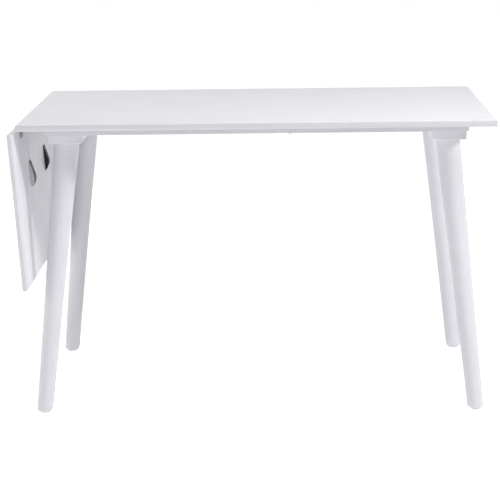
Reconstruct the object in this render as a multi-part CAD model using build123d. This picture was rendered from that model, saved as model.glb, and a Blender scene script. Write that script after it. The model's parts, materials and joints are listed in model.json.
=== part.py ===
from build123d import *
from collections import namedtuple
import math
import os

# A drop-leaf table: one fixed top on four splayed legs, and one leaf that hangs from its left end.
# Millimetres. +X runs along the table away from the leaf, +Y to the rear and +Z up from the floor.
# Everything is laid out with the leaf level with the top, and the leaf's pieces are then turned down.

# Boards: the fixed top and the leaf share a thickness, a width and the bevel below their long edges
table_height = 755.0
top_length = 1200.0
top_width = 800.0
leaf_length = 400.0
board_thickness = 16.0
leaf_gap = 2.0
edge_bevel = 6.0
corner_radius = 2.0
upper_arris = 1.0

# Rails under the long edges of the top
rail_from_end = 65.0
rail_from_side = 60.0
rail_width = 30.0
rail_thickness = 18.0
rail_arris = 1.5

# Flat bars that carry the legs, across the rails; their ends are bowed
leg_bar_from_end = 114.0
leg_bar_from_side = 62.0
leg_bar_width = 88.0
leg_bar_thickness = 22.5
leg_bar_bow = 10.0
leg_bar_corner = 6.0
leg_bar_arris = 2.5

# Turned legs: the splay is how far the foot stands out from the leg's seat
leg_from_side = 133.0
leg_splay_x = 72.0
leg_splay_y = 66.0
leg_top_diameter = 65.5
leg_middle_diameter = 51.5
leg_foot_diameter = 41.5
leg_foot_bevel = 4.5
leg_trim = 12.0

# Glides nailed under the feet
glide_diameter = 27.0
glide_height = 3.0
glide_nail_diameter = 3.0
glide_nail_length = 16.0

# Studs that stand in the legs, and the nuts that hold them on the leg bars
stud_diameter = 8.0
stud_in_leg = 32.0
stud_above_bar = 9.0
nut_sides = 6
nut_width = 13.0
nut_height = 6.5

# Butt hinges: the pin lies below the underside of the boards
hinge_offset_y = 255.0
hinge_length = 44.0
hinge_plate_reach = 26.0
hinge_plate_thickness = 2.0
hinge_pin_drop = 5.5
hinge_pin_diameter = 4.0
hinge_pin_clearance = 0.05
hinge_knuckles = 3
hinge_knuckle_gap = 0.4
hinge_screw_reach = 16.5
hinge_screw_spread = 13.0

# Sliding supports: flat bars in grooves in the leaf, closed by cover plates
slide_offset_y = 150.0
slide_travel = 68.0
support_start = 14.0
support_length = 262.0
support_width = 24.0
support_thickness = 4.0
cover_thickness = 1.5
cover_start = 4.0
cover_lap = 14.0
keeper_start = 3.0
keeper_length = 46.0
mortise_spare = 8.0

# Ramp-shaped grips on the supports, each a bent shell with one closed cheek towards the middle.
# A lug fills the shell and stands on the support. Pairs are shares of the grip's length and height
grip_start = 102.0
grip_length = 70.0
grip_height = 12.0
grip_sheet = 2.0
grip_toe = 1.5
grip_rim_share = 0.78
grip_shoulder = (0.56, 0.97)
grip_back = (0.80, 0.80)
lug_recess = 3.0
lug_foot_length = 30.0
lug_foot_thickness = 3.0
rivet_diameter = 3.0
rivet_head_diameter = 5.2
rivet_head_height = 1.0
rivet_depth = 8.0
rivet_spacing = 20.0
rivet_place = (0.60, 0.42)

# Clearances: running between pieces that move, fitted between pieces that are fixed together
running_gap = 0.3
fitted_gap = 0.1

# Screws, by head diameter, shank diameter and whole length.
# Screws, studs, nails and rivets are many and small, so they are eight-sided
fastener_sides = 8
countersink_taper = 45.0
round_head_taper = 30.0
Screw = namedtuple("Screw", "head shank length")
hinge_screw = Screw(head=7.0, shank=3.5, length=13.0)
cover_screw = Screw(head=6.0, shank=3.0, length=10.0)
leg_bar_screw = Screw(head=8.0, shank=4.0, length=48.0)
round_screw = Screw(head=8.0, shank=4.0, length=26.0)
round_screw_head_height = 3.2
round_screw_x = 85.0
round_screw_from_face = 11.0

# Places worked out from the sizes above
underside_z = table_height - board_thickness
top_end_x = -top_length / 2
pin_x = top_end_x - leaf_gap / 2
pin_z = underside_z - hinge_pin_drop
leaf_edge_x = pin_x - leaf_gap / 2
rail_bottom_z = underside_z - rail_thickness
rail_face_y = top_width / 2 - rail_from_side
leg_bar_bottom_z = rail_bottom_z - leg_bar_thickness
leg_x = top_length / 2 - leg_bar_from_end
leg_y = top_width / 2 - leg_from_side
groove_depth = cover_thickness + support_thickness + 2 * running_gap
support_z = underside_z + cover_thickness + running_gap
support_end = support_start + support_length
cover_half_width = support_width / 2 + cover_lap
cover_screw_offset = support_width / 2 + cover_lap / 2
grip_inner_y = slide_offset_y - support_width / 2
grip_outer_y = slide_offset_y + support_width / 2
cover_span = (pin_x - support_end - cover_lap, pin_x - cover_start)
keeper_span = (top_end_x + keeper_start, top_end_x + keeper_start + keeper_length)
grip_middle = grip_start + grip_length / 2
lug_y_span = (grip_inner_y + grip_sheet, grip_outer_y - lug_recess)
lug_foot_span = (pin_x - grip_middle - lug_foot_length / 2, pin_x - grip_middle + lug_foot_length / 2)
lug_foot_y_span = (slide_offset_y - lug_foot_thickness / 2, slide_offset_y + lug_foot_thickness / 2)
rivet_y_span = (grip_inner_y, lug_y_span[0] + rivet_depth)
# The leaf hangs free where its middle is straight below the pins
hang_lean = math.degrees(math.atan2(hinge_pin_drop + board_thickness / 2, (leaf_gap + leaf_length) / 2))
sides = (-1, 1)
corners = {"front_left": (-1, -1), "front_right": (1, -1), "rear_left": (-1, 1), "rear_right": (1, 1)}
hinge_places = {"front": -hinge_offset_y, "rear": hinge_offset_y}


def block(x_span, y_span, z_span):
    """A box between two values on each axis."""
    spans = (x_span, y_span, z_span)
    size = [high - low for low, high in spans]
    middle = [(low + high) / 2 for low, high in spans]
    return Pos(*middle) * Box(*size)


def rod(x, y, z_span, diameter):
    """An upright cylinder between two heights."""
    low, high = z_span
    return Pos(x, y, (low + high) / 2) * Cylinder(diameter / 2, high - low)


def prism(side_count, width, height, taper=0):
    """An upright prism on the origin, as wide as given across its flats; a taper narrows it upwards."""
    return extrude(RegularPolygon(width / 2, side_count, major_radius=False), height, taper=taper)


def pin(x, y, z_span, diameter):
    """An upright fastener shank between two heights."""
    low, high = z_span
    return Pos(x, y, low) * prism(fastener_sides, diameter, high - low)


def cross_pin(x, z, y_span, diameter):
    """A fastener shank along Y between two values."""
    low, high = y_span
    return Pos(x, high, z) * Rot(90, 0, 0) * prism(fastener_sides, diameter, high - low)


def countersunk_screw(screw):
    """A screw that runs up from its flat head at the origin."""
    head_height = (screw.head - screw.shank) / 2 / math.tan(math.radians(countersink_taper))
    head = prism(fastener_sides, screw.head, head_height, countersink_taper)
    return head + pin(0, 0, (head_height, screw.length), screw.shank)


def countersunk_hole(screw):
    """The hole for that screw, open below its head."""
    wider = Screw(screw.head + 2 * fitted_gap, screw.shank + 2 * fitted_gap, screw.length + fitted_gap)
    return countersunk_screw(wider) + pin(0, 0, (-fitted_gap, 0), wider.head)


def round_head_screw(screw, head_height):
    """A screw that runs up from the seat of its raised head at the origin."""
    head = Rot(180, 0, 0) * prism(fastener_sides, screw.head, head_height, round_head_taper)
    return head + pin(0, 0, (0, screw.length), screw.shank)


def round_head_hole(screw):
    """The plain hole for a raised-head screw, open at its seat."""
    return pin(0, 0, (-fitted_gap, screw.length + fitted_gap), screw.shank + 2 * fitted_gap)


def copies(shape, spots):
    """The shape at each spot."""
    return [Pos(*spot) * shape for spot in spots]


def side_plate(face, y_span):
    """A face drawn on the XZ plane, given the thickness between two values of Y."""
    low, high = y_span
    return Pos(0, low, 0) * extrude(face, high - low, dir=(0, 1, 0))


def both_sides(rear_shape):
    """The rear piece and its mirror image at the front."""
    return {"front": mirror(rear_shape, about=Plane.XZ), "rear": rear_shape}


# Where the screws go, as (x, y, z) of each head's seat
def hinge_screw_spots(towards):
    """Screw seats of every hinge plate, on the top's side (+1) or the leaf's side (-1) of the pins."""
    seat_z = underside_z - hinge_plate_thickness
    x = pin_x + towards * hinge_screw_reach
    rows = [hinge_y + side * hinge_screw_spread for hinge_y in hinge_places.values() for side in sides]
    return [(x, y, seat_z) for y in rows]


def plate_screw_spots(x_values):
    """Screw seats along both edges of the two cover or keeper plates, at the given X values."""
    rows = [end * slide_offset_y + side * cover_screw_offset for end in sides for side in sides]
    return [(x, y, underside_z) for x in x_values for y in rows]


cover_x_values = [pin_x - cover_start - cover_lap, pin_x - support_end - cover_lap / 2]
keeper_x_values = [sum(keeper_span) / 2]
rail_middle_y = rail_face_y - rail_width / 2
rail_crossings = [(end * leg_x, flank * rail_middle_y) for end in sides for flank in sides]
leg_bar_screw_spots = [(x, y, leg_bar_bottom_z) for x, y in rail_crossings]
round_screw_y = rail_face_y - round_screw_from_face
round_screw_spots = [(round_screw_x, flank * round_screw_y, rail_bottom_z) for flank in sides]

hinge_hole = countersunk_hole(hinge_screw)
cover_hole = countersunk_hole(cover_screw)
leg_bar_hole = countersunk_hole(leg_bar_screw)
round_screw_hole = round_head_hole(round_screw)


def board(length, bevelled_end):
    """A board that runs in +X from its square hinge edge at x = 0, bevelled below its long edges."""
    blank = block((0, length), (-top_width / 2, top_width / 2), (underside_z, table_height))
    # Sorted along X, these are the hinge edge, the two long edges and the end edge
    lower_edges = blank.faces().sort_by(Axis.Z)[0].edges().sort_by(Axis.X)
    blank = chamfer(lower_edges[1:] if bevelled_end else lower_edges[1:-1], edge_bevel)
    end_edges = blank.edges().filter_by(Axis.Z).group_by(Axis.X)[-1]
    blank = fillet(end_edges, corner_radius)
    return chamfer(blank.faces().sort_by(Axis.Z)[-1].edges(), upper_arris)


def at_slides(x_span, half_width, z_span):
    """A block of the given half width on the line of each slide."""
    lines = [end * slide_offset_y for end in sides]
    return [block(x_span, (line - half_width, line + half_width), z_span) for line in lines]


def slide_grooves(x_span):
    """The grooves for the support bars in the underside of a board."""
    depth = (underside_z - fitted_gap, underside_z + groove_depth)
    return at_slides(x_span, support_width / 2 + running_gap, depth)


def plate_recesses(x_span):
    """The shallow recesses for the cover or keeper plates."""
    low, high = x_span
    depth = (underside_z - fitted_gap, underside_z + cover_thickness)
    return at_slides((low - fitted_gap, high + fitted_gap), cover_half_width + fitted_gap, depth)


def table_top():
    """The fixed top, square at both ends, with mortises for the supports and all its screw holes."""
    mortise_end = pin_x + slide_travel - support_start + mortise_spare
    cuts = slide_grooves((top_end_x - fitted_gap, mortise_end))
    cuts += plate_recesses(keeper_span)
    cuts += copies(hinge_hole, hinge_screw_spots(1))
    cuts += copies(cover_hole, plate_screw_spots(keeper_x_values))
    cuts += copies(leg_bar_hole, leg_bar_screw_spots)
    cuts += copies(round_screw_hole, round_screw_spots)
    return Pos(top_end_x, 0, 0) * board(top_length, False) - cuts


def drop_leaf():
    """The leaf, bevelled round its free end, with a groove and a cover recess for each support."""
    groove_end = pin_x - support_end - running_gap
    cuts = slide_grooves((groove_end, leaf_edge_x + fitted_gap))
    cuts += plate_recesses(cover_span)
    cuts += copies(hinge_hole, hinge_screw_spots(-1))
    cuts += copies(cover_hole, plate_screw_spots(cover_x_values))
    return Pos(leaf_edge_x, 0, 0) * Rot(0, 0, 180) * board(leaf_length, True) - cuts


def rail(flank):
    """A strip under one long edge of the top; flank is -1 at the front and 1 at the rear."""
    half = top_length / 2 - rail_from_end
    y_span = sorted((flank * rail_face_y, flank * (rail_face_y - rail_width)))
    strip = block((-half, half), y_span, (rail_bottom_z, underside_z))
    strip = chamfer(strip.faces().sort_by(Axis.Z)[0].edges(), rail_arris)
    cuts = copies(leg_bar_hole, leg_bar_screw_spots)
    cuts += copies(round_screw_hole, round_screw_spots)
    return strip - cuts


def leg_spots():
    """Where the leg axes meet the underside of the leg bars."""
    return [(side_x * leg_x, side_y * leg_y) for side_x, side_y in corners.values()]


def leg_bar(end):
    """A flat bar with bowed ends, across the rails; end is -1 at the leaf's end and 1 at the other."""
    half_width = leg_bar_width / 2
    tip_y = top_width / 2 - leg_bar_from_side
    shoulder_y = tip_y - leg_bar_bow
    outline = Curve()
    for side in sides:
        outline += Line((side * half_width, -shoulder_y), (side * half_width, shoulder_y))
        shoulders = [(flank * half_width, side * shoulder_y) for flank in sides]
        outline += ThreePointArc(shoulders[0], (0, side * tip_y), shoulders[1])
    bar = Pos(end * leg_x, 0, leg_bar_bottom_z) * extrude(make_face(outline), leg_bar_thickness)
    bar = fillet(bar.edges().filter_by(Axis.Z), leg_bar_corner)
    bar = chamfer(bar.faces().sort_by(Axis.Z)[0].edges(), leg_bar_arris)
    through = (leg_bar_bottom_z - fitted_gap, rail_bottom_z + fitted_gap)
    cuts = copies(leg_bar_hole, leg_bar_screw_spots)
    cuts += [pin(x, y, through, stud_diameter + 2 * fitted_gap) for x, y in leg_spots()]
    return bar - cuts


def leg(side_x, side_y):
    """A turned leg with a slightly hollow taper, cut level at its seat and bevelled round its foot."""
    seat = Vector(side_x * leg_x, side_y * leg_y, leg_bar_bottom_z)
    foot = seat + Vector(side_x * leg_splay_x, side_y * leg_splay_y, -leg_bar_bottom_z)
    axis = seat - foot
    low = -leg_trim
    high = axis.length + leg_trim
    foot_rim = (leg_foot_diameter / 2, 0, low)
    waist = (leg_middle_diameter / 2, 0, axis.length / 2)
    top_rim = (leg_top_diameter / 2, 0, high)
    core = Polyline(top_rim, (0, 0, high), (0, 0, low), foot_rim)
    outline = core + ThreePointArc(foot_rim, waist, top_rim)
    blank = Plane(origin=foot, z_dir=axis).location * revolve(make_face(outline), Axis.Z)
    # The finished leg lies inside a wide upright cone whose narrow end bevels the foot
    sole = foot + axis * (glide_height / axis.Z)
    sole_radius = leg_foot_diameter / 2 - leg_foot_bevel
    height = leg_bar_bottom_z - glide_height
    trim = Pos(*sole) * Pos(0, 0, height / 2) * Cone(sole_radius, sole_radius + height, height)
    stud_span = (leg_bar_bottom_z - stud_in_leg - fitted_gap, leg_bar_bottom_z + fitted_gap)
    nail_span = (glide_height - fitted_gap, glide_height + glide_nail_length + fitted_gap)
    stud_hole = pin(seat.X, seat.Y, stud_span, stud_diameter + 2 * fitted_gap)
    nail_hole = pin(foot.X, foot.Y, nail_span, glide_nail_diameter + 2 * fitted_gap)
    return (blank & trim) - [stud_hole, nail_hole]


def foot_glides():
    """A low disc under each foot, with a nail up into the leg."""
    nail_span = (glide_height, glide_height + glide_nail_length)
    glides = []
    for side_x, side_y in corners.values():
        x = side_x * (leg_x + leg_splay_x)
        y = side_y * (leg_y + leg_splay_y)
        disc = rod(x, y, (0, glide_height), glide_diameter)
        glides.append(disc + pin(x, y, nail_span, glide_nail_diameter))
    return glides


def leg_studs():
    """A stud up out of each leg, through the leg bar."""
    span = (leg_bar_bottom_z - stud_in_leg, rail_bottom_z + stud_above_bar)
    return [pin(x, y, span, stud_diameter) for x, y in leg_spots()]


def leg_nuts():
    """A hex nut on each stud, on top of the leg bar."""
    hole_span = (-fitted_gap, nut_height + fitted_gap)
    nut = prism(nut_sides, nut_width, nut_height) - pin(0, 0, hole_span, stud_diameter + 2 * fitted_gap)
    return copies(nut, [(x, y, rail_bottom_z) for x, y in leg_spots()])


def pin_rod(hinge_y, y_span, radius):
    """A cylinder on the hinge pins' axis, between two values measured from the hinge's middle."""
    low, high = y_span
    return Pos(pin_x, hinge_y + (low + high) / 2, pin_z) * Rot(90, 0, 0) * Cylinder(radius, high - low)


def hinge_plate(hinge_y, towards, knuckles):
    """A hinge plate with its knuckles round the pin; towards is +1 under the top and -1 under the leaf."""
    knuckle_radius = hinge_pin_drop - running_gap
    root_x = pin_x + towards * (knuckle_radius + running_gap)
    end_x = pin_x + towards * hinge_plate_reach
    half = hinge_length / 2
    plate_z = (underside_z - hinge_plate_thickness, underside_z)
    plate = block(sorted((root_x, end_x)), (hinge_y - half, hinge_y + half), plate_z)
    end_edges = plate.edges().filter_by(Axis.Z).sort_by(Axis.X)
    plate = fillet(end_edges[-2:] if towards > 0 else end_edges[:2], hinge_plate_thickness)
    root_z = (pin_z + knuckle_radius - hinge_plate_thickness, pin_z + knuckle_radius)
    root_span = sorted((pin_x, root_x + towards * hinge_plate_thickness))
    pitch = hinge_length / hinge_knuckles
    for knuckle in knuckles:
        low = knuckle * pitch - half + hinge_knuckle_gap / 2
        high = low + pitch - hinge_knuckle_gap
        plate += block(root_span, (hinge_y + low, hinge_y + high), root_z)
        plate += pin_rod(hinge_y, (low, high), knuckle_radius)
    bore_radius = hinge_pin_diameter / 2 + hinge_pin_clearance
    bore = pin_rod(hinge_y, (-half - fitted_gap, half + fitted_gap), bore_radius)
    return plate - [bore] - copies(hinge_hole, hinge_screw_spots(towards))


def slide_plate(x_span):
    """A thin plate let in flush over the rear groove or mortise, before its holes are cut."""
    y_span = (slide_offset_y - cover_half_width, slide_offset_y + cover_half_width)
    return block(x_span, y_span, (underside_z, underside_z + cover_thickness))


def slide_cover():
    """The cover over the rear groove, with a slot along which the foot of the grip's lug travels."""
    low, high = lug_foot_span
    low_y, high_y = lug_foot_y_span
    slot_x = (low - running_gap, high + slide_travel + running_gap)
    slot_z = (underside_z - fitted_gap, underside_z + cover_thickness + fitted_gap)
    slot = block(slot_x, (low_y - running_gap, high_y + running_gap), slot_z)
    return slide_plate(cover_span) - slot - copies(cover_hole, plate_screw_spots(cover_x_values))


def keeper_plate():
    """The plate over the rear mortise in the top, which carries the end of the support."""
    return slide_plate(keeper_span) - copies(cover_hole, plate_screw_spots(keeper_x_values))


def support_bar():
    """The flat bar in the rear groove, with a rounded leading end."""
    half = support_width / 2
    x_span = (pin_x - support_end, pin_x - support_start)
    y_span = (slide_offset_y - half, slide_offset_y + half)
    bar = block(x_span, y_span, (support_z, support_z + support_thickness))
    return fillet(bar.edges().filter_by(Axis.Z).group_by(Axis.X)[-1], half / 2)


def grip_outline(inset):
    """The ramp seen from the side: it rises away from the pins and rounds back to the leaf."""
    base_z = underside_z - running_gap
    start_x = pin_x - grip_start - inset
    end_x = pin_x - grip_start - grip_length + inset
    run = end_x - start_x
    height = grip_height - inset
    turns = (grip_shoulder, grip_back)
    shoulder, back = [(start_x + along * run, 0, base_z - down * height) for along, down in turns]
    ramp = Polyline((end_x, 0, base_z), (start_x, 0, base_z), (start_x, 0, base_z - grip_toe), shoulder)
    return make_face(ramp + ThreePointArc(shoulder, back, (end_x, 0, base_z)))


def rivet_spots():
    """Where the two rivets of a grip stand, as (x, z)."""
    along, down = rivet_place
    middle_x = pin_x - grip_start - along * grip_length
    z = underside_z - running_gap - down * grip_height
    return [(middle_x + side * rivet_spacing / 2, z) for side in sides]


def slide_grip():
    """The rear grip: a closed cheek and a rim round the ramp, open away from the middle."""
    shell = side_plate(grip_outline(0), (grip_inner_y, grip_outer_y))
    hollow_y = (grip_inner_y + grip_sheet, grip_outer_y + fitted_gap)
    hollow = grip_outline(grip_sheet)
    shell -= side_plate(hollow, hollow_y)
    rim_end_x = pin_x - grip_start - grip_rim_share * grip_length
    below = underside_z - 2 * grip_height
    shell -= block((rim_end_x - grip_length, rim_end_x), hollow_y, (below, underside_z))
    hole_y = (grip_inner_y - fitted_gap, hollow_y[0] + fitted_gap)
    return shell - [cross_pin(x, z, hole_y, rivet_diameter + 2 * fitted_gap) for x, z in rivet_spots()]


def grip_lug():
    """The rear grip's lug: a block inside the shell, with a foot through the cover to the support bar."""
    lug = side_plate(grip_outline(grip_sheet + fitted_gap), lug_y_span)
    lug += block(lug_foot_span, lug_foot_y_span, (underside_z - 2 * running_gap, support_z))
    hole_y = (lug_y_span[0] - fitted_gap, rivet_y_span[1] + fitted_gap)
    return lug - [cross_pin(x, z, hole_y, rivet_diameter + 2 * fitted_gap) for x, z in rivet_spots()]


def grip_rivets():
    """Two rivets driven through the rear grip's cheek into its lug."""
    head_y = (grip_inner_y - rivet_head_height, grip_inner_y)
    rivets = []
    for x, z in rivet_spots():
        shank = cross_pin(x, z, rivet_y_span, rivet_diameter)
        rivets.append(shank + cross_pin(x, z, head_y, rivet_head_diameter))
    return rivets


# Pieces fixed to the top
fixed = {"table_top": table_top()}
fixed["front_rail"] = rail(-1)
fixed["rear_rail"] = rail(1)
fixed["left_leg_bar"] = leg_bar(-1)
fixed["right_leg_bar"] = leg_bar(1)
for corner, (side_x, side_y) in corners.items():
    fixed[f"{corner}_leg"] = leg(side_x, side_y)
fixed["foot_glides"] = Compound(foot_glides())
fixed["leg_studs"] = Compound(leg_studs())
fixed["leg_nuts"] = Compound(leg_nuts())
fixed["leg_bar_screws"] = Compound(copies(countersunk_screw(leg_bar_screw), leg_bar_screw_spots))
round_screws = copies(round_head_screw(round_screw, round_screw_head_height), round_screw_spots)
fixed["rail_round_screws"] = Compound(round_screws)
for place, hinge_y in hinge_places.items():
    fixed[f"{place}_hinge_top_plate"] = hinge_plate(hinge_y, 1, range(0, hinge_knuckles, 2))
    pin_span = (-hinge_length / 2, hinge_length / 2)
    fixed[f"{place}_hinge_pin"] = pin_rod(hinge_y, pin_span, hinge_pin_diameter / 2)
fixed["hinge_top_screws"] = Compound(copies(countersunk_screw(hinge_screw), hinge_screw_spots(1)))
for flank, plate in both_sides(keeper_plate()).items():
    fixed[f"{flank}_keeper_plate"] = plate
plate_screw = countersunk_screw(cover_screw)
fixed["keeper_screws"] = Compound(copies(plate_screw, plate_screw_spots(keeper_x_values)))

# Pieces that swing with the leaf, some of which also slide on it
swinging = {"drop_leaf": drop_leaf()}
for place, hinge_y in hinge_places.items():
    swinging[f"{place}_hinge_leaf_plate"] = hinge_plate(hinge_y, -1, range(1, hinge_knuckles, 2))
swinging["hinge_leaf_screws"] = Compound(copies(countersunk_screw(hinge_screw), hinge_screw_spots(-1)))
swinging["cover_screws"] = Compound(copies(plate_screw, plate_screw_spots(cover_x_values)))
for name, rear_shape in (
    ("slide_cover", slide_cover()),
    ("support_bar", support_bar()),
    ("slide_grip", slide_grip()),
    ("grip_lug", grip_lug()),
    ("grip_rivets", Compound(grip_rivets())),
):
    for flank, shape in both_sides(rear_shape).items():
        swinging[f"{flank}_{name}"] = shape

# The leaf hangs from its pins, and the origin goes to the middle of the floor under the whole table
pin_axis = Axis((pin_x, 0, pin_z), (0, 1, 0))
pieces = dict(fixed)
for name, shape in swinging.items():
    pieces[name] = shape.rotate(pin_axis, -90 - hang_lean)
low_x = pieces["drop_leaf"].bounding_box().min.X
high_x = pieces["table_top"].bounding_box().max.X
to_origin = Pos(-(low_x + high_x) / 2, 0, 0)

os.makedirs("parts", exist_ok=True)
for name, shape in pieces.items():
    export_step(to_origin * shape, f"parts/{name}.step")
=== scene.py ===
import json
import math

import bmesh
import bpy
from mathutils import Euler, Matrix, Vector

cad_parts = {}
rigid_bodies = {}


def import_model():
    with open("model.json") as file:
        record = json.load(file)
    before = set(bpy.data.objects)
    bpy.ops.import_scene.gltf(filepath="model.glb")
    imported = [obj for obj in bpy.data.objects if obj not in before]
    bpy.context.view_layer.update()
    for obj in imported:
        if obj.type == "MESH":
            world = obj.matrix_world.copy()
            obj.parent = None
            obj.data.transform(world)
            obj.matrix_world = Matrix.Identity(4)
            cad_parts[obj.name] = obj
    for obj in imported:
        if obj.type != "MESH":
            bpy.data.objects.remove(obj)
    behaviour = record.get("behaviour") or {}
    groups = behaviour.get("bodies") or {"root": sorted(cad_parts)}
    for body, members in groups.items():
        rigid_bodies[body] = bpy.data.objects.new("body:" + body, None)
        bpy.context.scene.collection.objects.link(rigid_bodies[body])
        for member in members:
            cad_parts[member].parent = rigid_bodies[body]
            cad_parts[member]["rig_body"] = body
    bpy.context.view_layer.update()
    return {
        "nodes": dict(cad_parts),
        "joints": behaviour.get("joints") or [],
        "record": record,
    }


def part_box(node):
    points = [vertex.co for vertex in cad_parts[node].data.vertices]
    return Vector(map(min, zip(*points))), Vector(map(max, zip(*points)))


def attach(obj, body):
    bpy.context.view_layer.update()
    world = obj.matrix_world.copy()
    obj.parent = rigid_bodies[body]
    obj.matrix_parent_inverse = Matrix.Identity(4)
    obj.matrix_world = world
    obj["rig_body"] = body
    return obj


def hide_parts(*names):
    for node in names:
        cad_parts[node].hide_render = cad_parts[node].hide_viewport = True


# Finishes, small turned and threaded parts, studio and camera for the drop-leaf table.
# Metres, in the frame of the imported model: +X along the table away from the leaf, +Y to the rear, +Z up.
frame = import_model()
nodes = frame["nodes"]
joints = {joint["name"]: joint for joint in frame["joints"]}
slot_of = {row["node"]: row["material_slot"] for row in frame["record"]["subparts"]}
MM = 0.001
UP = Vector((0, 0, 1))
ALONG_PIN = Vector(joints["leaf_hinge"]["axis"])
# The leaf hangs a little out of plumb; its supports slide along it, and its inner face looks to +X
LEAF_UP = Vector(joints["front_slide"]["axis"])
LEAF_INWARD = ALONG_PIN.cross(LEAF_UP)
LEAF_LEAN = math.atan2(-LEAF_UP.x, LEAF_UP.z)

# Small parts, in millimetres or as shares of the CAD part's own width
SAME_PLACE = 0.01
SHARP_ANGLE = math.radians(32)
ROUND_STEPS = 36
THREAD_STEPS = 20
THREAD_LEVELS = 5
CORNER_TO_FLAT = math.cos(math.pi / 8)
SCREW_SHANK_SHARE = 0.5
SCREW_RIM_SHARE = 1.14
SCREW_RIM_HEIGHT = 0.3
SCREW_RIM_TOP_SHARE = 0.96
SCREW_CROWN = 0.25
SCREW_CROWN_SHARE = 0.86
SCREW_PITCH = 1.4
SCREW_TIP = 3.0
SCREW_TWIST = math.radians(137.5)
THREAD_DEPTH_SHARE = 0.24
RECESS_REACH_SHARE = 0.56
RECESS_BORDER_SHARE = 1.12
RECESS_ARM_SHARE = 0.14
RECESS_CORNER_SHARE = 0.20
RECESS_FLOOR_SHARE = 0.45
RECESS_DEPTH_SHARE = 0.26
RAISED_HEAD_HEIGHT = 3.2
RAISED_FACE_SHARE = 0.62
RAISED_CROWN_SHARE = 0.8
RAISED_CROWN_STEPS = 5
STUD_PITCH = 1.25
STUD_THREAD_DEPTH = 0.65
STUD_BEVEL = 0.8
NUT_SIDES = 6
NUT_BEVEL_ANGLE = math.radians(30)
NUT_BEVEL_SHARES = (0, 0.34, 0.67, 1)
NUT_BORE = 4.1
RIVET_SHANK_SHARE = 0.58
RIVET_HEAD_HEIGHT = 1.0
RIVET_DOME_STEPS = 6
RIVET_BEVEL = 0.4
GLIDE_HEIGHT = 3.0
GLIDE_ROUNDING = 1.2
GLIDE_RIM_STEPS = 5
GLIDE_NAIL = 1.5
PIN_BEVEL = 0.5

# Effects that several finishes share
PEEL_SHARE = 0.35
RIPPLE_SHARE = 0.65
RIPPLE_TO_PEEL = 0.14
HAZE_PER_METRE = 9.0
EDGE_LEAST_SHARE = 0.5
FINE_LINE_SHARE = 0.6
BROAD_LINE_SHARE = 0.4
BROAD_TO_FINE = 0.21

# Finishes: tints, shares, and lengths in metres
COOL = (1.0, 0.9915, 1.050)
ZINC = (0.975, 1.0, 1.02)
LACQUER_SHADE_SHARE = 0.975
LACQUER_DEPTH = 0.00006
# The band round a board's sides: its width, and how much smoother its gloss is; its grey is painted shade
SIDE_WIDTH = 0.002
SIDE_SMOOTHER = 0.08
FAR_OFF = 1.0
PAINT_SHADE_SHARE = 0.97
GRAIN_SHADE_SHARE = 0.95
GRAIN_SHOWING = 0.35
FILM_OVER_GRAIN = 0.5
FRAME_PAINT_DEPTH = 0.00005
LEG_PAINT_DEPTH = 0.00006
COAT_DEPTH = 0.00003
RUB_PER_METRE = 260.0
RUB_SHOWING = 0.5
BRUSHING_DEPTH = 0.00001
NYLON_DEPTH = 0.00003

# Lines per metre along X, Y and Z: grain of legs, rails and bars, and brushing on metal
LEG_GRAIN = (520.0, 520.0, 9.0)
RAIL_GRAIN = (9.0, 520.0, 520.0)
BAR_GRAIN = (520.0, 9.0, 520.0)
BRUSHING = (1800.0, 70.0, 1800.0)

# Camera and studio
PHOTO_SIDE = 500
FOCAL_PIXELS = 1928
SENSOR = 36.0
CAMERA_PLACE = (0.0818, -5.160, 1.353)
CAMERA_YAW = math.radians(-1.076)
CAMERA_PITCH = math.radians(10.921)
CAMERA_ROLL = math.radians(-0.775)
SURROUND_LIGHT = 0.10
SURROUND_SEEN = 1.0
FLOOR_HALF = 14.0
FLOOR_BELOW = 0.0003
FLOOR_LEVEL = 0.88
FLOOR_BOUNCE = 0.245
NEAR_FLOOR = 1.2
NEAR_LIFT = 0.69
FAR_FLOOR = 3.0
FAR_LIFT = 0.96


# Meshes: every small part is drawn in millimetres about its own axis, with its seat at the origin
def vert_at(mesh, radius, turn, height):
    """A vertex at a distance from the axis, a turn round it and a height."""
    return mesh.verts.new((radius * math.cos(turn), radius * math.sin(turn), height))


def ring(mesh, radius, height, count=ROUND_STEPS):
    """A level ring of vertices, or a single vertex where the radius is nothing."""
    if radius == 0:
        return [mesh.verts.new((0, 0, height))]
    return [vert_at(mesh, radius, 2 * math.pi * step / count, height) for step in range(count)]


def skin(mesh, lower, upper):
    """Faces between two rings of the same count, one of which may be a single vertex."""
    count = max(len(lower), len(upper))
    for step in range(count):
        after = step + 1
        corners = [lower[step % len(lower)], lower[after % len(lower)]]
        corners += [upper[after % len(upper)], upper[step % len(upper)]]
        mesh.faces.new(list(dict.fromkeys(corners)))


def skin_all(mesh, rings):
    """Faces between each ring and the next."""
    for lower, upper in zip(rings, rings[1:]):
        skin(mesh, lower, upper)


def bridge(mesh, first, second):
    """Faces between two rings of different counts."""
    edges = []
    for loop in (first, second):
        for vert, after in zip(loop, loop[1:] + loop[:1]):
            edges.append(mesh.edges.get((vert, after)) or mesh.edges.new((vert, after)))
    bmesh.ops.bridge_loops(mesh, edges=edges)


def turned(mesh, outline):
    """A turned form whose outline is (radius, height) pairs."""
    rings = [ring(mesh, radius, height) for radius, height in outline]
    skin_all(mesh, rings)
    return rings


def quarter_turn(steps):
    """Angles from nothing to a right angle, in even steps."""
    return [math.pi / 2 * step / steps for step in range(steps + 1)]


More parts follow.
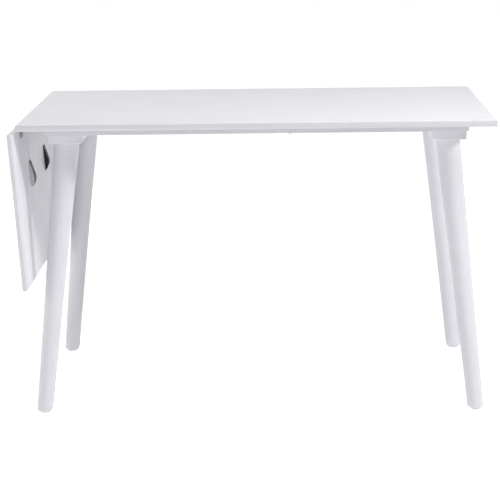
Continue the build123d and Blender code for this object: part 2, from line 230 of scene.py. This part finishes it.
def thread(mesh, crest, depth, pitch, low, high):
    """Rings of a threaded shank between two heights."""
    levels = round((high - low) / pitch * THREAD_LEVELS)
    rings = []
    for level in range(levels + 1):
        height = low + (high - low) * level / levels
        loop = []
        for step in range(THREAD_STEPS):
            turn = step / THREAD_STEPS
            wave = abs(2 * ((height / pitch - turn) % 1) - 1)
            loop.append(vert_at(mesh, crest - depth * wave, 2 * math.pi * turn, height))
        rings.append(loop)
    return rings


def cross_outline(reach, arm, corner):
    """The outline of a cross recess, counted round from the +X arm."""
    quarter = [(reach, -arm), (reach, arm), (corner, corner)]
    turns = [(1, 0), (0, 1), (-1, 0), (0, -1)]
    return [(x * c - y * s, x * s + y * c) for c, s in turns for x, y in quarter]


def cross_recess(mesh, face_ring, face_height, head_radius):
    """Closes a head's face round a tapering cross recess; the head looks to -Z."""
    shares = (RECESS_REACH_SHARE, RECESS_ARM_SHARE, RECESS_CORNER_SHARE)
    outline = cross_outline(*[share * head_radius for share in shares])
    narrowed = [(x * RECESS_FLOOR_SHARE, y * RECESS_FLOOR_SHARE) for x, y in outline]
    floor_height = face_height + RECESS_DEPTH_SHARE * 2 * head_radius
    mouth = [mesh.verts.new((x, y, face_height)) for x, y in outline]
    floor = [mesh.verts.new((x, y, floor_height)) for x, y in narrowed]
    skin(mesh, mouth, floor)
    mesh.faces.new(floor)
    bridge(mesh, face_ring, mouth)


def screw_shank(mesh, radius, start, length):
    """A threaded shank with a pointed tip; returns its first ring."""
    depth = radius * THREAD_DEPTH_SHARE * 2
    rings = thread(mesh, radius, depth, SCREW_PITCH, start, length - SCREW_TIP)
    skin_all(mesh, rings + [ring(mesh, 0, length)])
    return rings[0]


def flat_screw(mesh, width, length):
    """A countersunk screw with a thin rim that laps the edge of its hole."""
    head = width * CORNER_TO_FLAT / 2
    shank = head * SCREW_SHANK_SHARE
    rim = head * SCREW_RIM_SHARE
    face = -SCREW_RIM_HEIGHT - SCREW_CROWN
    outline = [
        (RECESS_REACH_SHARE * head * RECESS_BORDER_SHARE, face),
        (rim * SCREW_CROWN_SHARE, -SCREW_RIM_HEIGHT - SCREW_CROWN / 2),
        (rim * SCREW_RIM_TOP_SHARE, -SCREW_RIM_HEIGHT),
        (rim, -SCREW_RIM_HEIGHT / 2),
        (rim, 0),
        (head, 0),
        (shank, head - shank),
    ]
    rings = turned(mesh, outline)
    cross_recess(mesh, rings[0], face, head)
    bridge(mesh, rings[-1], screw_shank(mesh, shank, head - shank + SCREW_PITCH / 2, length))


def raised_screw(mesh, width, length):
    """A raised-head screw; the CAD part is measured from the crown of its head."""
    head = width * CORNER_TO_FLAT / 2
    shank = head * SCREW_SHANK_SHARE
    outline = []
    for angle in quarter_turn(RAISED_CROWN_STEPS):
        radius = head * (RAISED_FACE_SHARE + (1 - RAISED_FACE_SHARE) * math.sin(angle))
        outline.append((radius, RAISED_HEAD_HEIGHT * (1 - math.cos(angle)) * RAISED_CROWN_SHARE))
    outline += [(head, RAISED_HEAD_HEIGHT), (shank, RAISED_HEAD_HEIGHT)]
    rings = turned(mesh, outline)
    cross_recess(mesh, rings[0], 0, head)
    bridge(mesh, rings[-1], screw_shank(mesh, shank, RAISED_HEAD_HEIGHT + SCREW_PITCH / 2, length))


def stud(mesh, width, length):
    """A threaded rod with bevelled ends."""
    radius = width * CORNER_TO_FLAT / 2
    rings = thread(mesh, radius, STUD_THREAD_DEPTH, STUD_PITCH, STUD_BEVEL, length - STUD_BEVEL)
    end = radius - STUD_THREAD_DEPTH
    low = ring(mesh, end, 0, THREAD_STEPS)
    high = ring(mesh, end, length, THREAD_STEPS)
    centre_low = ring(mesh, 0, 0)
    centre_high = ring(mesh, 0, length)
    skin_all(mesh, [centre_low, low] + rings + [high, centre_high])


def nut(mesh, width, height):
    """A hex nut whose corners are turned off at 30 degrees on both faces."""
    half_side = math.pi / NUT_SIDES
    flat = width * math.cos(half_side) / 2
    bevel_height = (width / 2 - flat) * math.tan(NUT_BEVEL_ANGLE)
    levels = [share * bevel_height for share in NUT_BEVEL_SHARES]
    levels += [height - share * bevel_height for share in reversed(NUT_BEVEL_SHARES)]
    count = ROUND_STEPS * 2
    rings = [ring(mesh, NUT_BORE, 0, count)]
    for level in levels:
        limit = flat + min(level, height - level) / math.tan(NUT_BEVEL_ANGLE)
        loop = []
        for step in range(count):
            turn = 2 * math.pi * step / count
            from_middle = (turn + half_side) % (2 * half_side) - half_side
            loop.append(vert_at(mesh, min(limit, flat / math.cos(from_middle)), turn, level))
        rings.append(loop)
    rings.append(ring(mesh, NUT_BORE, height, count))
    skin_all(mesh, rings + [rings[0]])


def rivet(mesh, width, length):
    """A rivet with a low domed head."""
    head = width * CORNER_TO_FLAT / 2
    shank = head * RIVET_SHANK_SHARE
    outline = []
    for angle in quarter_turn(RIVET_DOME_STEPS):
        outline.append((head * math.sin(angle), RIVET_HEAD_HEIGHT * (1 - math.cos(angle))))
    outline += [(shank, RIVET_HEAD_HEIGHT), (shank, length - RIVET_BEVEL)]
    turned(mesh, outline + [(shank - RIVET_BEVEL, length), (0, length)])


def glide(mesh, width, length):
    """A low nylon disc with a rounded rim, on a nail."""
    radius = width / 2
    rim = []
    for angle in quarter_turn(GLIDE_RIM_STEPS):
        inset = GLIDE_ROUNDING * (1 - math.sin(angle))
        rim.append((radius - inset, GLIDE_ROUNDING * (1 - math.cos(angle))))
    top = [(radius, GLIDE_HEIGHT), (GLIDE_NAIL, GLIDE_HEIGHT)]
    nail = [(GLIDE_NAIL, length - 2 * GLIDE_NAIL), (0, length)]
    turned(mesh, [(0, 0)] + rim + top + nail)


def hinge_pin(mesh, width, length):
    """A pin with bevelled ends."""
    radius = width / 2
    end = [(0, 0), (radius - PIN_BEVEL, 0), (radius, PIN_BEVEL)]
    turned(mesh, end + [(r, length - height) for r, height in reversed(end)])


def solids_of(node, axis):
    """(seat, width, length) of each separate solid of a CAD node, measured along an axis, in metres."""
    mesh = bmesh.new()
    mesh.from_mesh(nodes[node].data)
    bmesh.ops.remove_doubles(mesh, verts=mesh.verts, dist=SAME_PLACE * MM)
    # A dict keeps the order of the vertices, which a set doesn't, so that every run gives the same result
    waiting = dict.fromkeys(mesh.verts)
    found = []
    while waiting:
        solid = [next(iter(waiting))]
        del waiting[solid[0]]
        # The list grows while it is gone through, until no neighbour is left
        for vert in solid:
            for edge in vert.link_edges:
                near = edge.other_vert(vert)
                if near in waiting:
                    del waiting[near]
                    solid.append(near)
        places = [vert.co for vert in solid]
        middle = sum(places, Vector()) / len(places)
        heights = [place.dot(axis) for place in places]
        low = min(heights)
        seat = middle + axis * (low - middle.dot(axis))
        across = max((place - seat - axis * (place - seat).dot(axis)).length for place in places)
        found.append((seat, 2 * across, max(heights) - low))
    mesh.free()
    # Rounded, so that the last digits of a place don't decide which of two solids comes first
    return sorted(found, key=lambda solid: [round(value / (SAME_PLACE * MM)) for value in solid[0]])


def small_parts(name, node, make, axis, material):
    """One piece that stands for a CAD node, with a detailed part in place of each of its solids."""
    whole = bmesh.new()
    lie = axis.to_track_quat("Z", "Y").to_matrix().to_4x4()
    # No two screws of a row stop at the same turn
    twist = SCREW_TWIST if make in (flat_screw, raised_screw) else 0.0
    for index, (seat, width, length) in enumerate(solids_of(node, axis)):
        part = bmesh.new()
        make(part, width / MM, length / MM)
        turn = Matrix.Rotation(twist * index, 4, "Z")
        place = Matrix.Translation(seat) @ lie @ Matrix.Scale(MM, 4) @ turn
        bmesh.ops.transform(part, matrix=place, verts=part.verts)
        bmesh.ops.recalc_face_normals(part, faces=part.faces)
        mesh = bpy.data.meshes.new(name)
        part.to_mesh(mesh)
        whole.from_mesh(mesh)
        bpy.data.meshes.remove(mesh)
        part.free()
    mesh = bpy.data.meshes.new(name)
    whole.to_mesh(mesh)
    whole.free()
    mesh.shade_smooth()
    mesh.set_sharp_from_angle(angle=SHARP_ANGLE)
    piece = bpy.data.objects.new(name, mesh)
    bpy.context.scene.collection.objects.link(piece)
    mesh.materials.append(material)
    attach(piece, nodes[node]["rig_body"])
    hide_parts(node)


# Shader nodes
def feed(tree, socket, value):
    """Links a socket to another node's output, or sets it to a constant."""
    if isinstance(value, bpy.types.NodeSocket):
        tree.links.new(value, socket)
    else:
        socket.default_value = value


def add(tree, kind, inputs=(), **settings):
    """A node whose inputs are constants or other nodes' outputs."""
    made = tree.nodes.new(kind)
    for setting, value in settings.items():
        setattr(made, setting, value)
    for socket, value in dict(inputs).items():
        feed(tree, made.inputs[socket], value)
    return made


def sums(tree, operation, first, second, clamp=False):
    """The result of one arithmetic step."""
    inputs = {0: first, 1: second}
    return add(tree, "ShaderNodeMath", inputs, operation=operation, use_clamp=clamp).outputs[0]


def shared_out(tree, first, first_share, second, second_share):
    """Two values added by their shares."""
    first_part = sums(tree, "MULTIPLY", first, first_share)
    second_part = sums(tree, "MULTIPLY", second, second_share)
    return sums(tree, "ADD", first_part, second_part)


def vector_step(tree, operation, *vectors):
    """The result of one step of vector arithmetic."""
    return add(tree, "ShaderNodeVectorMath", enumerate(vectors), operation=operation).outputs[0]


def noise(tree, vector, scale, detail=2.0, roughness=0.5):
    """A noise value from 0 to 1."""
    inputs = {"Vector": vector, "Scale": scale, "Detail": detail, "Roughness": roughness}
    return add(tree, "ShaderNodeTexNoise", inputs).outputs["Fac"]


def between(tree, value, low, high, out_low=0.0, out_high=1.0):
    """A value taken from one range to another, with soft ends."""
    inputs = {"Value": value, "From Min": low, "From Max": high, "To Min": out_low, "To Max": out_high}
    return add(tree, "ShaderNodeMapRange", inputs, interpolation_type="SMOOTHSTEP").outputs["Result"]


def mixed(tree, factor, first, second):
    """One colour laid over another."""
    made = add(tree, "ShaderNodeMix", data_type="RGBA")
    for name, value in (("Factor_Float", factor), ("A_Color", first), ("B_Color", second)):
        feed(tree, next(socket for socket in made.inputs if socket.identifier == name), value)
    return next(socket for socket in made.outputs if socket.identifier == "Result_Color")


def new_group(name, inputs, outputs):
    """An empty node group with named sockets; returns the group, its input node and its output node."""
    group = bpy.data.node_groups.new(name, "ShaderNodeTree")
    for socket, kind in inputs:
        group.interface.new_socket(socket, in_out="INPUT", socket_type="NodeSocket" + kind)
    for socket, kind in outputs:
        group.interface.new_socket(socket, in_out="OUTPUT", socket_type="NodeSocket" + kind)
    return group, group.nodes.new("NodeGroupInput"), group.nodes.new("NodeGroupOutput")


def tone_group():
    """Slow drift of a finish between its own colour and a shade of it."""
    inputs = [("Vector", "Vector"), ("Colour", "Color"), ("Shade", "Color"), ("Patches per metre", "Float")]
    group, given, result = new_group("tone drift", inputs, [("Colour", "Color")])
    scale = given.outputs["Patches per metre"]
    patches = noise(group, given.outputs["Vector"], scale, detail=3.0, roughness=0.55)
    drift = between(group, patches, low=0.3, high=0.7)
    colour = mixed(group, drift, given.outputs["Colour"], given.outputs["Shade"])
    group.links.new(colour, result.inputs["Colour"])
    return group


def film_group():
    """Sprayed lacquer or powder: fine orange peel over a longer ripple, with patches of haze."""
    inputs = [("Vector", "Vector"), ("Peel per metre", "Float"), ("Gloss", "Float"), ("Haze", "Float")]
    group, given, result = new_group("sprayed film", inputs, [("Height", "Float"), ("Roughness", "Float")])
    vector = given.outputs["Vector"]
    peel_scale = given.outputs["Peel per metre"]
    peel = noise(group, vector, peel_scale, detail=1.0)
    ripple = noise(group, vector, sums(group, "MULTIPLY", peel_scale, RIPPLE_TO_PEEL), detail=1.0)
    height = shared_out(group, peel, PEEL_SHARE, ripple, RIPPLE_SHARE)
    patches = noise(group, vector, HAZE_PER_METRE, detail=4.0, roughness=0.6)
    haze = between(group, patches, low=0.25, high=0.75, out_low=-1.0, out_high=1.0)
    rough = sums(group, "ADD", given.outputs["Gloss"], sums(group, "MULTIPLY", haze, given.outputs["Haze"]))
    group.links.new(height, result.inputs["Height"])
    group.links.new(rough, result.inputs["Roughness"])
    return group


def edge_group():
    """A mask round the sides of a board, with a broken border, where painted shade and a smoother gloss go;
    positions count from its middle.
    """
    inputs = [("Position", "Vector"), ("Half size", "Vector")]
    inputs += [("Width", "Float"), ("Breaks per metre", "Float")]
    group, given, result = new_group("edge band", inputs, [("Mask", "Float")])
    position = given.outputs["Position"]
    from_middle = vector_step(group, "ABSOLUTE", position)
    inside = vector_step(group, "SUBTRACT", given.outputs["Half size"], from_middle)
    x, y, z = add(group, "ShaderNodeSeparateXYZ", {0: inside}).outputs
    from_side = sums(group, "MINIMUM", sums(group, "MINIMUM", x, y), z)
    breaks = noise(group, position, given.outputs["Breaks per metre"], detail=3.0, roughness=0.6)
    share = sums(group, "ADD", breaks, EDGE_LEAST_SHARE)
    reach = sums(group, "MULTIPLY", given.outputs["Width"], share)
    mask = sums(group, "SUBTRACT", 1.0, sums(group, "DIVIDE", from_side, reach), clamp=True)
    group.links.new(mask, result.inputs["Mask"])
    return group


def streak_group():
    """Fine parallel lines: brushing on metal, or grain that shows through paint."""
    inputs = [("Vector", "Vector"), ("Lines per metre", "Vector"), ("Strength", "Float")]
    group, given, result = new_group("fine lines", inputs, [("Height", "Float"), ("Mask", "Float")])
    stretched = vector_step(group, "MULTIPLY", given.outputs["Vector"], given.outputs["Lines per metre"])
    fine = noise(group, stretched, scale=1.0, detail=3.0, roughness=0.65)
    broad = noise(group, stretched, BROAD_TO_FINE)
    lines = shared_out(group, fine, FINE_LINE_SHARE, broad, BROAD_LINE_SHARE)
    mask = sums(group, "MULTIPLY", between(group, lines, low=0.35, high=0.65), given.outputs["Strength"])
    group.links.new(lines, result.inputs["Height"])
    group.links.new(mask, result.inputs["Mask"])
    return group


tone_drift = tone_group()
sprayed_film = film_group()
edge_band = edge_group()
fine_lines = streak_group()


# Finishes
def use(tree, group, inputs):
    """Places a node group in a material and returns its outputs."""
    return add(tree, "ShaderNodeGroup", inputs, node_tree=group).outputs


def new_material(name):
    """A new material, its tree, its Principled shader and the piece's own position."""
    material = bpy.data.materials.new(name)
    material.use_nodes = True
    tree = material.node_tree
    place = add(tree, "ShaderNodeTexCoord").outputs["Object"]
    return material, tree, tree.nodes["Principled BSDF"], place


def drifting_tone(tree, place, colour, shade, patches):
    """A colour that drifts to a shade of it, in so many patches per metre."""
    inputs = {"Vector": place, "Colour": colour, "Shade": shade, "Patches per metre": patches}
    return use(tree, tone_drift, inputs)["Colour"]


def bump(tree, shader, height, depth):
    """Raises a surface by a height from 0 to 1 times a depth in metres."""
    made = add(tree, "ShaderNodeBump", {"Height": height, "Distance": depth, "Strength": 1.0})
    tree.links.new(made.outputs["Normal"], shader.inputs["Normal"])


def grey(level, tint=(1.0, 1.0, 1.0)):
    """A colour from a level of grey and a tint."""
    return (level * tint[0], level * tint[1], level * tint[2], 1.0)


def board_box(node):
    """The middle, half size and turn of a board's own box; the leaf's leans with it."""
    if nodes[node]["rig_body"] != "leaf":
        low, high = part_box(node)
        return (low + high) / 2, (high - low) / 2, Euler((0, 0, 0))
    turn = Euler((0, -LEAF_LEAN, 0))
    corners = [turn.to_matrix().inverted() @ vert.co for vert in nodes[node].data.vertices]
    spans = [(min(values), max(values)) for values in zip(*corners)]
    middle = turn.to_matrix() @ Vector([(top + bottom) / 2 for bottom, top in spans])
    half = Vector([(top - bottom) / 2 for bottom, top in spans])
    return middle, half, turn


def lacquered_board(name, node, level, painted_side_shade_share):
    """Satin white lacquer: faint peel, drifting gloss, and a smoother band round the sides, greyed as
    painted shade.
    """
    material, tree, shader, place = new_material(name)
    middle, half, turn = board_box(node)
    inputs = {"Vector": place, "Location": middle, "Rotation": turn}
    local = add(tree, "ShaderNodeMapping", inputs, vector_type="TEXTURE").outputs[0]
    # The faces are no sides, so the thickness is taken as far off
    half[list(half).index(min(half))] = FAR_OFF
    inputs = {"Position": local, "Half size": half, "Width": SIDE_WIDTH, "Breaks per metre": 22.0}
    side = use(tree, edge_band, inputs)["Mask"]
    film = use(tree, sprayed_film, {"Vector": place, "Peel per metre": 420.0, "Gloss": 0.36, "Haze": 0.05})
    shade = grey(level * LACQUER_SHADE_SHARE, COOL)
    tone = drifting_tone(tree, place, grey(level, COOL), shade, patches=3.0)
    # Painted shade: the lacquer is greyed round the sides by a share of its level
    colour = mixed(tree, side, tone, grey(level * painted_side_shade_share, COOL))
    tree.links.new(colour, shader.inputs["Base Color"])
    rough = sums(tree, "SUBTRACT", film["Roughness"], sums(tree, "MULTIPLY", side, SIDE_SMOOTHER))
    tree.links.new(rough, shader.inputs["Roughness"])
    bump(tree, shader, film["Height"], LACQUER_DEPTH)
    shader.inputs["Specular IOR Level"].default_value = 0.25
    return material


def painted_wood(name, level, lines, depth):
    """White paint over wood: the grain shows through as faint lines along the piece."""
    material, tree, shader, place = new_material(name)
    grain = use(tree, fine_lines, {"Vector": place, "Lines per metre": lines, "Strength": 1.0})
    film = use(tree, sprayed_film, {"Vector": place, "Peel per metre": 380.0, "Gloss": 0.36, "Haze": 0.06})
    shade = grey(level * PAINT_SHADE_SHARE, COOL)
    tone = drifting_tone(tree, place, grey(level, COOL), shade, patches=7.0)
    showing = sums(tree, "MULTIPLY", grain["Mask"], GRAIN_SHOWING)
    colour = mixed(tree, showing, tone, grey(level * GRAIN_SHADE_SHARE, COOL))
    tree.links.new(colour, shader.inputs["Base Color"])
    tree.links.new(film["Roughness"], shader.inputs["Roughness"])
    film_height = sums(tree, "MULTIPLY", film["Height"], FILM_OVER_GRAIN)
    bump(tree, shader, sums(tree, "ADD", grain["Height"], film_height), depth)
    shader.inputs["Specular IOR Level"].default_value = 0.45
    return material


def powder_coat(name, colour, shade, gloss, worn=None):
    """A pebbled coat sprayed on sheet steel; where a worn colour is given, patches are rubbed to it."""
    material, tree, shader, place = new_material(name)
    film = use(tree, sprayed_film, {"Vector": place, "Peel per metre": 900.0, "Gloss": gloss, "Haze": 0.07})
    tone = drifting_tone(tree, place, colour, shade, patches=40.0)
    if worn:
        patches = noise(tree, place, RUB_PER_METRE, detail=5.0, roughness=0.7)
        rub = between(tree, patches, low=0.62, high=0.78)
        tone = mixed(tree, sums(tree, "MULTIPLY", rub, RUB_SHOWING), tone, worn)
    tree.links.new(tone, shader.inputs["Base Color"])
    tree.links.new(film["Roughness"], shader.inputs["Roughness"])
    bump(tree, shader, film["Height"], COAT_DEPTH)
    shader.inputs["Specular IOR Level"].default_value = 0.15
    return material


def plated_steel(name, colour, shade, gloss):
    """Plated steel with fine brushing and drifting tone."""
    material, tree, shader, place = new_material(name)
    brushed = use(tree, fine_lines, {"Vector": place, "Lines per metre": BRUSHING, "Strength": 0.18})
    tone = drifting_tone(tree, place, colour, shade, patches=120.0)
    tree.links.new(tone, shader.inputs["Base Color"])
    tree.links.new(sums(tree, "ADD", brushed["Mask"], gloss), shader.inputs["Roughness"])
    bump(tree, shader, brushed["Height"], BRUSHING_DEPTH)
    shader.inputs["Metallic"].default_value = 1.0
    return material


def moulded_nylon(name, colour, shade):
    """Milky nylon with a fine moulded grain."""
    material, tree, shader, place = new_material(name)
    film = use(tree, sprayed_film, {"Vector": place, "Peel per metre": 1500.0, "Gloss": 0.48, "Haze": 0.08})
    tone = drifting_tone(tree, place, colour, shade, patches=90.0)
    tree.links.new(tone, shader.inputs["Base Color"])
    tree.links.new(film["Roughness"], shader.inputs["Roughness"])
    bump(tree, shader, film["Height"], NYLON_DEPTH)
    return material


# Boards, rails, bars and legs are finished by the ending of their name, and the rest by their slot
finish_of_ending = {
    # The sides of the top get deeper painted shade than those of the leaf
    "table_top": lacquered_board("white_lacquer_top", "table_top", level=0.80, painted_side_shade_share=0.91),
    "drop_leaf": lacquered_board("white_lacquer_leaf", "drop_leaf", level=0.80, painted_side_shade_share=0.98),
    # Rails, bars and legs share one white paint; the rail's lower level is painted shade under the top's
    # overhang, and the bars' slightly lower level is painted shade too
    "rail": painted_wood("white_paint_rail_painted_shade", level=0.70, lines=RAIL_GRAIN, depth=FRAME_PAINT_DEPTH),
    "leg_bar": painted_wood("white_paint_bar_painted_shade", level=0.78, lines=BAR_GRAIN, depth=FRAME_PAINT_DEPTH),
    "leg": painted_wood("white_paint_leg", level=0.80, lines=LEG_GRAIN, depth=LEG_PAINT_DEPTH),
}
white_coat = powder_coat("white_powder_coat", grey(0.80, COOL), grey(0.78, COOL), gloss=0.36)
dark_coat = powder_coat("dark_satin_coat", grey(0.028), grey(0.020), gloss=0.42, worn=grey(0.06))
nickel = plated_steel("nickel_plate", grey(0.29), grey(0.25), gloss=0.30)
zinc = plated_steel("zinc_plate", grey(0.60, ZINC), grey(0.50, ZINC), gloss=0.34)
nylon = moulded_nylon("milky_nylon", grey(0.74), grey(0.68))
finish_of_slot = {
    "white_steel": white_coat,
    "dark_steel": dark_coat,
    "hinge_steel": nickel,
    "zinc_steel": zinc,
    "glide_plastic": nylon,
}
for node, slot in slot_of.items():
    by_ending = [finish for ending, finish in finish_of_ending.items() if node.endswith(ending)]
    nodes[node].data.materials.clear()
    nodes[node].data.materials.append(by_ending[0] if by_ending else finish_of_slot[slot])

# Detailed parts in place of the plain fasteners
for name, node, make, axis, material in (
    ("hinge_top_screws_detailed", "hinge_top_screws", flat_screw, UP, nickel),
    ("hinge_leaf_screws_detailed", "hinge_leaf_screws", flat_screw, -LEAF_INWARD, nickel),
    ("keeper_screws_detailed", "keeper_screws", flat_screw, UP, white_coat),
    ("cover_screws_detailed", "cover_screws", flat_screw, -LEAF_INWARD, white_coat),
    ("leg_bar_screws_detailed", "leg_bar_screws", flat_screw, UP, zinc),
    ("rail_round_screws_detailed", "rail_round_screws", raised_screw, UP, zinc),
    ("leg_studs_threaded", "leg_studs", stud, UP, zinc),
    ("leg_nuts_bevelled", "leg_nuts", nut, UP, zinc),
    ("front_grip_rivets_domed", "front_grip_rivets", rivet, -ALONG_PIN, dark_coat),
    ("rear_grip_rivets_domed", "rear_grip_rivets", rivet, ALONG_PIN, dark_coat),
    ("front_hinge_pin_bevelled", "front_hinge_pin", hinge_pin, ALONG_PIN, nickel),
    ("rear_hinge_pin_bevelled", "rear_hinge_pin", hinge_pin, ALONG_PIN, nickel),
    ("foot_glides_rounded", "foot_glides", glide, UP, nylon),
):
    small_parts(name, node, make, axis, material)


# Studio: a white surround, soft lamps on all sides, and a pale floor that keeps the shadow
def white_to_camera(tree):
    """1 for rays that come from the camera or by way of a shiny or clear surface."""
    path = add(tree, "ShaderNodeLightPath").outputs
    seen = sums(tree, "MAXIMUM", path["Is Camera Ray"], path["Is Glossy Ray"])
    return sums(tree, "MAXIMUM", seen, path["Is Transmission Ray"])


def lit_or_seen(tree, lit, seen):
    """One strength for rays that light the table, another for rays that show white."""
    inputs = {"Value": white_to_camera(tree), "To Min": lit, "To Max": seen}
    return add(tree, "ShaderNodeMapRange", inputs).outputs["Result"]


def surround():
    """A world that lights the table evenly and shows white."""
    world = bpy.data.worlds.new("studio")
    world.use_nodes = True
    tree = world.node_tree
    background = tree.nodes["Background"]
    background.inputs["Color"].default_value = grey(1.0)
    tree.links.new(lit_or_seen(tree, SURROUND_LIGHT, SURROUND_SEEN), background.inputs["Strength"])
    bpy.context.scene.world = world


def studio_floor():
    """A pale floor, clear from below; to the camera it is lifted to white, least near the table."""
    mesh = bpy.data.meshes.new("studio_floor")
    corners = [(x * FLOOR_HALF, y * FLOOR_HALF) for x, y in ((-1, -1), (1, -1), (1, 1), (-1, 1))]
    mesh.from_pydata([(x, y, -FLOOR_BELOW) for x, y in corners], [], [(0, 1, 2, 3)])
    floor = bpy.data.objects.new("studio_floor", mesh)
    bpy.context.scene.collection.objects.link(floor)
    material, tree, shader, place = new_material("pale_floor")
    shader.inputs["Base Color"].default_value = grey(FLOOR_LEVEL)
    shader.inputs["Roughness"].default_value = 0.9
    shader.inputs["Specular IOR Level"].default_value = 0.0
    shader.inputs["Emission Color"].default_value = grey(1.0)
    distance = add(tree, "ShaderNodeVectorMath", {0: place}, operation="LENGTH").outputs["Value"]
    inputs = {
        "Value": distance,
        "From Min": NEAR_FLOOR,
        "From Max": FAR_FLOOR,
        "To Min": NEAR_LIFT,
        "To Max": FAR_LIFT,
    }
    lift = add(tree, "ShaderNodeMapRange", inputs).outputs["Result"]
    tree.links.new(lit_or_seen(tree, FLOOR_BOUNCE, lift), shader.inputs["Emission Strength"])
    from_below = add(tree, "ShaderNodeNewGeometry").outputs["Backfacing"]
    clear = add(tree, "ShaderNodeBsdfTransparent").outputs["BSDF"]
    inputs = {0: from_below, 1: shader.outputs["BSDF"], 2: clear}
    shown = add(tree, "ShaderNodeMixShader", inputs).outputs["Shader"]
    tree.links.new(shown, tree.nodes["Material Output"].inputs["Surface"])
    mesh.materials.append(material)


def soft_light(name, place, target, size, power, mirrored):
    """A square softbox aimed at a point and unseen by the camera; shiny surfaces see it if mirrored."""
    data = bpy.data.lights.new(name, "AREA")
    data.size = size
    data.energy = power
    lamp = bpy.data.objects.new(name, data)
    lamp.location = place
    lamp.rotation_euler = (Vector(target) - Vector(place)).to_track_quat("-Z", "Y").to_euler()
    lamp.visible_camera = False
    lamp.visible_glossy = mirrored
    bpy.context.scene.collection.objects.link(lamp)


def photo_camera():
    """The camera at the photograph's viewing angle."""
    yaw, pitch, roll = CAMERA_YAW, CAMERA_PITCH, CAMERA_ROLL
    ahead = Vector((math.sin(yaw) * math.cos(pitch), math.cos(yaw) * math.cos(pitch), -math.sin(pitch)))
    level = Vector((math.cos(yaw), -math.sin(yaw), 0))
    above = level.cross(ahead)
    right = math.cos(roll) * level + math.sin(roll) * above
    top = math.cos(roll) * above - math.sin(roll) * level
    data = bpy.data.cameras.new("photo_camera")
    data.sensor_width = SENSOR
    data.lens = FOCAL_PIXELS / PHOTO_SIDE * SENSOR
    camera = bpy.data.objects.new("photo_camera", data)
    facing = Matrix((right, top, -ahead)).transposed().to_4x4()
    camera.matrix_world = Matrix.Translation(CAMERA_PLACE) @ facing
    bpy.context.scene.collection.objects.link(camera)
    bpy.context.scene.camera = camera


surround()
studio_floor()
# Each lamp's name, place, target, side in metres and power in watts, and whether it is mirrored
for name, place, target, size, power, mirrored in (
    ("key", (3.0, -1.45, 2.2), (0.1, 0, 0.6), 0.4, 56.0, False),
    ("overhead", (0.9, -0.4, 3.2), (0.3, 0, 0.7), 2.0, 20.5, True),
    ("near_front", (0.6, -0.95, 1.95), (0.3, -0.3, 0.75), 0.9, 7.7, True),
    ("front", (-0.9, -4.2, 1.0), (-0.1, 0, 0.45), 1.2, 15.5, False),
    ("left_front", (-2.75, -2.5, 1.0), (-0.1, -0.1, 0.42), 1.4, 16.0, False),
    ("left_high", (-2.3, 0.2, 1.9), (-0.6, 0, 0.5), 1.4, 22.0, False),
    ("rear_left", (-1.9, 2.9, 1.4), (0, 0, 0.45), 1.8, 10.0, False),
    ("rear", (-0.85, 3.5, 1.2), (0.1, 0, 0.4), 1.2, 12.0, False),
):
    soft_light(name, place, target, size, power, mirrored)
photo_camera()
bpy.context.scene.view_settings.view_transform = "Standard"
